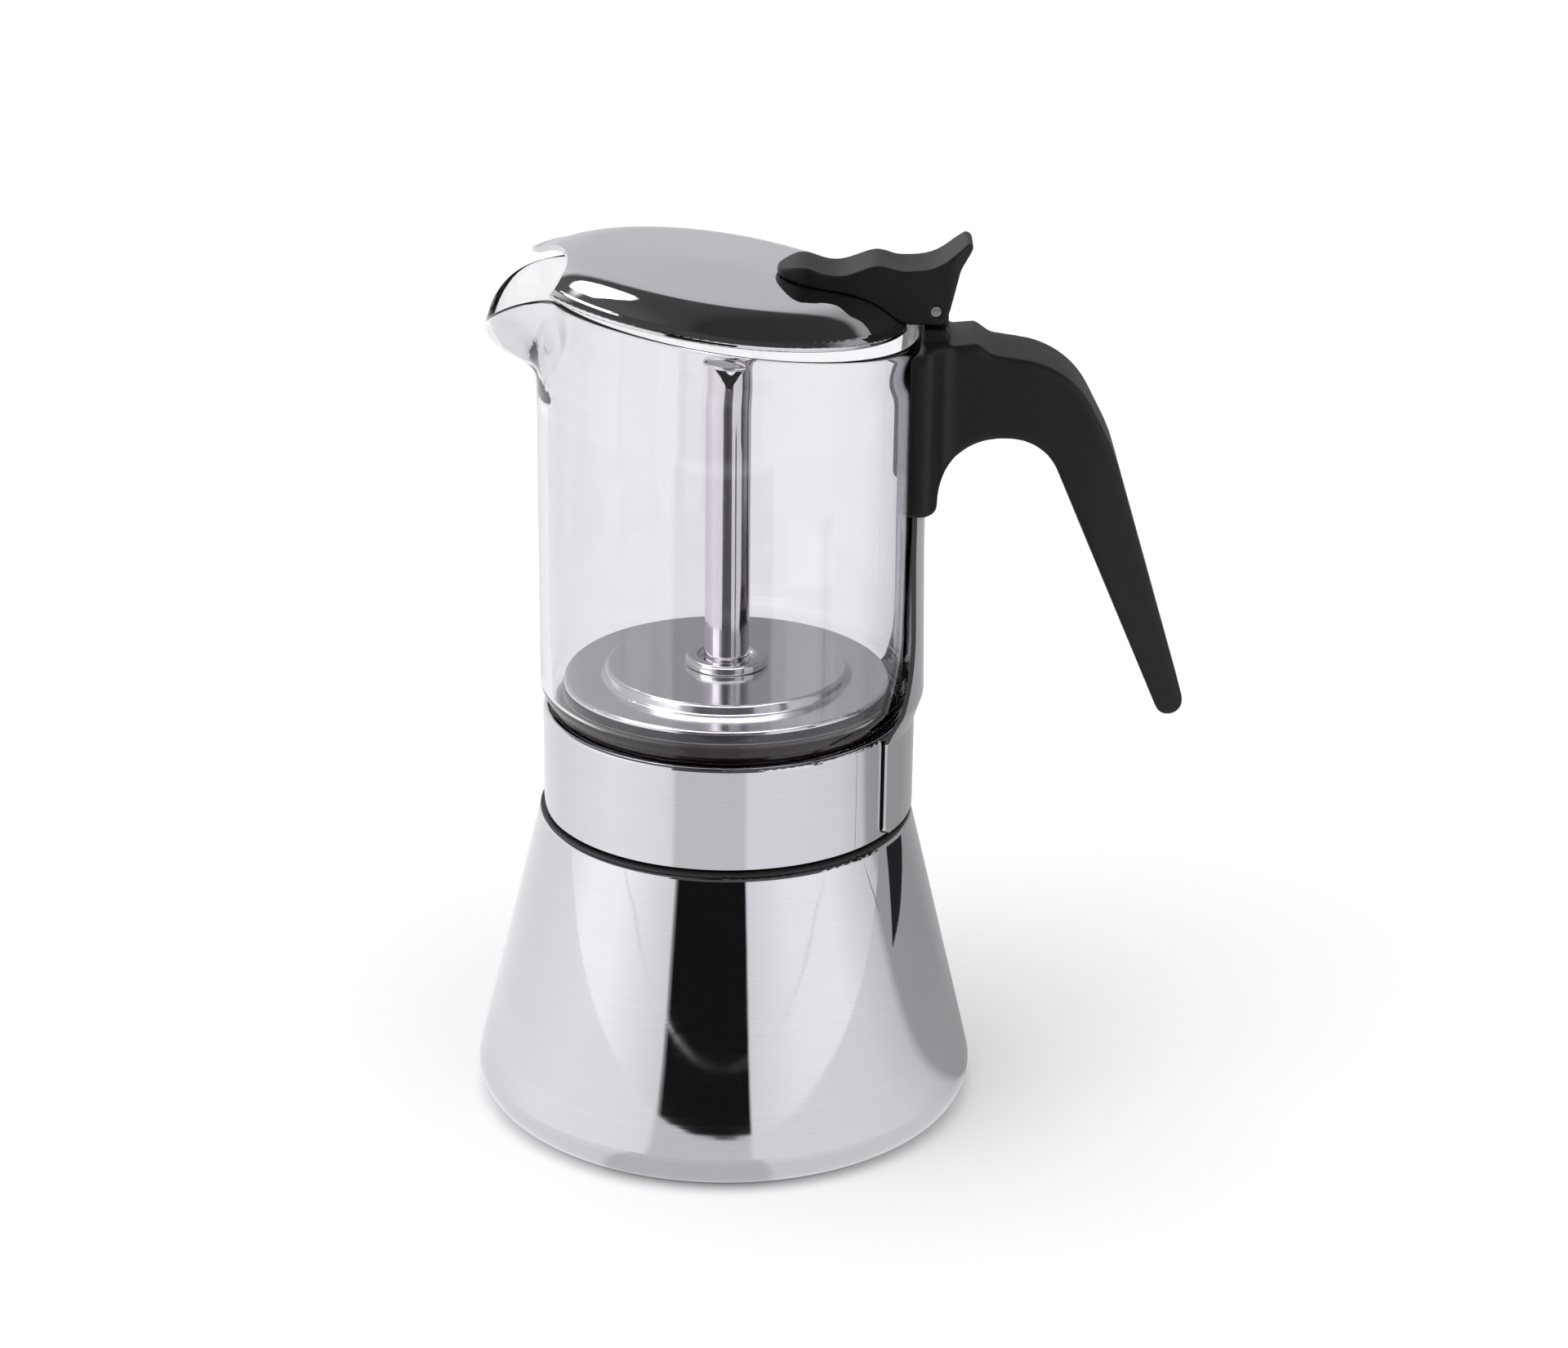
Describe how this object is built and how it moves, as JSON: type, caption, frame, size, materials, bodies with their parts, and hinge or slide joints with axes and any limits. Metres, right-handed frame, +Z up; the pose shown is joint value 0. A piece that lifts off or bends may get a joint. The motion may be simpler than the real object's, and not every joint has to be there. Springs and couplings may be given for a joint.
{
  "type": "stovetop moka pot with glass jug",
  "caption": "Stovetop coffee maker: conical steel boiler, screw-on steel collar with a clear glass jug and spout, centre column, black arched handle and hinged steel lid with thumb lever.",
  "frame": {"origin": "centre of the boiler's flat underside, on the surface the pot stands on", "axes": "+Z up along the pot's axis, +X towards the handle, -X towards the spout"},
  "size_m": [0.1428, 0.1026, 0.1814],
  "materials": {
    "boiler_steel": "mirror polished stainless steel",
    "collar_steel": "fine satin stainless steel",
    "lid_steel": "polished stainless steel",
    "inner_steel": "plain stainless steel",
    "glass": "clear borosilicate glass",
    "handle_plastic": "fine textured matte black",
    "seal_red": "dark red silicone",
    "seal_black": "black silicone",
    "gasket_silicone": "pale silicone",
    "brass": "turned brass",
    "pin_steel": "bright turned steel"
  },
  "bodies": {
    "boiler": {"boiler_shell": "boiler_steel", "neck_ring": "seal_black", "funnel": "inner_steel", "funnel_stem": "inner_steel", "funnel_sieve": "inner_steel", "valve_seal": "gasket_silicone", "valve_body": "brass", "valve_nut": "brass", "valve_spring": "pin_steel"},
    "valve": {"valve_plunger": "pin_steel"},
    "gasket_set": {"gasket": "gasket_silicone", "filter_plate": "inner_steel"},
    "server": {"collar": "collar_steel", "deck": "inner_steel", "glass_seal_lower": "seal_red", "glass_jug": "glass", "glass_seal_upper": "seal_red", "clamp_plate": "lid_steel", "column_tube": "lid_steel", "column_nut": "lid_steel", "strap": "collar_steel", "handle": "handle_plastic", "handle_screws": "pin_steel", "hinge_pin": "pin_steel"},
    "lid": {"lid_shell": "lid_steel", "knob": "handle_plastic", "knob_screws": "pin_steel"}
  },
  "joints": [
    {"name": "upper_rise", "type": "slide", "parent": "boiler", "child": "gasket_set", "axis": [0, 0, 1], "range_m": [0, 0.0045]},
    {"name": "upper_turn", "type": "hinge", "parent": "gasket_set", "child": "server", "pos_m": [0, 0, 0.07], "axis": [0, 0, 1], "range_deg": [0, 540]},
    {"name": "lid_hinge", "type": "hinge", "parent": "server", "child": "lid", "pos_m": [0.04, 0, 0.1685], "axis": [0, 1, 0], "range_deg": [0, 90]},
    {"name": "valve_travel", "type": "slide", "parent": "boiler", "child": "valve", "axis": [0, 0.9722, 0.2341], "range_m": [0, 0.001], "stiffness_N_per_m": 800, "springref_m": -0.001, "deforming": ["valve_spring"]}
  ],
  "couplings": [
    {"joint": "upper_rise", "follows": "upper_turn", "m_per_rad": 0.00047746}
  ]
}
